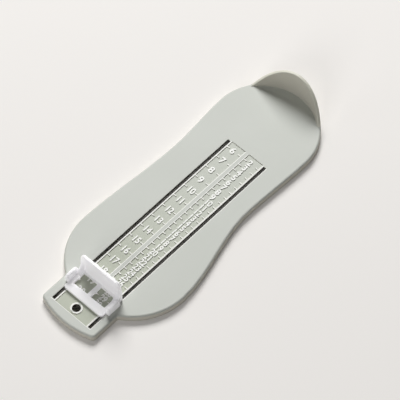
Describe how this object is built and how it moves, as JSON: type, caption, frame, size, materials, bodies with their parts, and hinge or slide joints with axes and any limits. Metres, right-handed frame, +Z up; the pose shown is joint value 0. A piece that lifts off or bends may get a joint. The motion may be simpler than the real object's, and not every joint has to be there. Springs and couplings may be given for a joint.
{
  "type": "foot measuring device",
  "caption": "Foot-shaped measuring board with a heel cup, a raised length scale between two slots and a sliding toe stop that clips through them.",
  "frame": {"origin": "on the table under the middle of the board's bounding box, with X = 0 on the middle of the scale", "axes": "+Y from the tail to the heel cup along the direction of measuring, +Z up from the table, +X to the right for someone who looks from the tail to the heel"},
  "size_m": [0.0866, 0.2254, 0.0256],
  "materials": {
    "board_plastic": "fine satin moulded plastic, pale sage grey",
    "slider_plastic": "smooth white moulded plastic"
  },
  "bodies": {
    "board": {"foot_board": "board_plastic"},
    "slider": {"toe_slider": "slider_plastic"}
  },
  "joints": [
    {"name": "toe_slide", "type": "slide", "parent": "board", "child": "slider", "axis": [0, 1, 0], "range_m": [-0.0153, 0.1334]}
  ]
}
